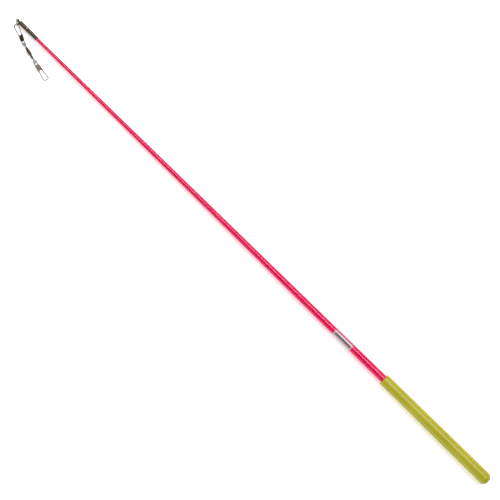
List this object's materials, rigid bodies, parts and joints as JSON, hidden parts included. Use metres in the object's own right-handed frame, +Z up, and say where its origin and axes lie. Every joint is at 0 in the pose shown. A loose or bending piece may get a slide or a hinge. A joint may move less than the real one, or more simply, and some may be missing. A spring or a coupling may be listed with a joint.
{
  "type": "rhythmic gymnastics ribbon wand",
  "caption": "Slim tapered ribbon wand with a rubber grip, foil label, crimped metal ferrule, turning ball knob, jump ring and a clip chain of wire snaps and a barrel swivel.",
  "frame": {"origin": "under the middle of the bounding box, on the floor that the wand lies on", "axes": "+X along the wand towards the grip's butt, +Z up, the clip chain lies towards -Y"},
  "size_m": [0.6, 0.0286, 0.0122],
  "materials": {
    "rod_gloss": "gloss",
    "grip_rubber": "satin",
    "label_foil": "satin",
    "dark_nickel": "polished dark nickel",
    "bright_steel": "polished"
  },
  "bodies": {
    "wand": {"shaft": "rod_gloss", "grip_sleeve": "grip_rubber", "label_band": "label_foil", "ferrule_sleeve": "dark_nickel", "swivel_housing": "dark_nickel", "cross_rivet": "bright_steel", "swivel_washer": "bright_steel"},
    "tip_swivel": {"tip_swivel": "dark_nickel"},
    "tip_ring": {"tip_ring": "bright_steel"},
    "upper_snap": {"upper_snap_wire": "bright_steel", "upper_snap_plate": "dark_nickel"},
    "upper_gate": {"upper_snap_gate": "bright_steel"},
    "upper_eye": {"swivel_eye_upper": "dark_nickel"},
    "barrel": {"swivel_barrel": "dark_nickel"},
    "lower_eye": {"swivel_eye_lower": "dark_nickel"},
    "lower_snap": {"lower_snap_wire": "bright_steel", "lower_snap_plate": "dark_nickel"},
    "lower_gate": {"lower_snap_gate": "bright_steel"}
  },
  "joints": [
    {"name": "tip_spin", "type": "hinge", "parent": "wand", "child": "tip_swivel", "pos_m": [-0.29859, 0.00825, 0.00333], "axis": [-1, 0, -0.0047], "continuous": true},
    {"name": "ring_swing", "type": "hinge", "parent": "tip_swivel", "child": "tip_ring", "pos_m": [-0.29859, 0.00825, 0.00333], "axis": [-0.0045, -0.2588, 0.9659], "range_deg": [-200, 0]},
    {"name": "upper_snap_swing", "type": "hinge", "parent": "tip_ring", "child": "upper_snap", "pos_m": [-0.29557, 0.00492, 0.00235], "axis": [0.0223, -0.2884, 0.9573], "range_deg": [-55, 0]},
    {"name": "upper_gate_lift", "type": "hinge", "parent": "upper_snap", "child": "upper_gate", "pos_m": [-0.29732, 0.00434, 0.00183], "axis": [-0.3713, -0.8496, -0.3745], "range_deg": [0, 30], "stiffness_Nm_per_rad": 0.004},
    {"name": "swivel_swing", "type": "hinge", "parent": "upper_snap", "child": "upper_eye", "pos_m": [-0.28025, -0.0029, 0.00134], "axis": [-0.124, -0.3543, 0.9269], "range_deg": [-45, 12]},
    {"name": "barrel_spin", "type": "hinge", "parent": "upper_eye", "child": "barrel", "pos_m": [-0.27873, -0.00339, 0.00192], "axis": [0.9681, -0.2504, 0], "continuous": true},
    {"name": "lower_eye_spin", "type": "hinge", "parent": "barrel", "child": "lower_eye", "pos_m": [-0.27873, -0.00339, 0.00192], "axis": [0.9681, -0.2504, 0], "continuous": true},
    {"name": "lower_snap_swing", "type": "hinge", "parent": "lower_eye", "child": "lower_snap", "pos_m": [-0.26032, -0.00809, 0.00139], "axis": [0.0631, 0.3363, 0.9397], "range_deg": [-40, 15]},
    {"name": "lower_gate_lift", "type": "hinge", "parent": "lower_snap", "child": "lower_gate", "pos_m": [-0.24218, -0.01195, 0.00155], "axis": [0.1983, 0.9185, -0.342], "range_deg": [0, 30], "stiffness_Nm_per_rad": 0.004}
  ]
}
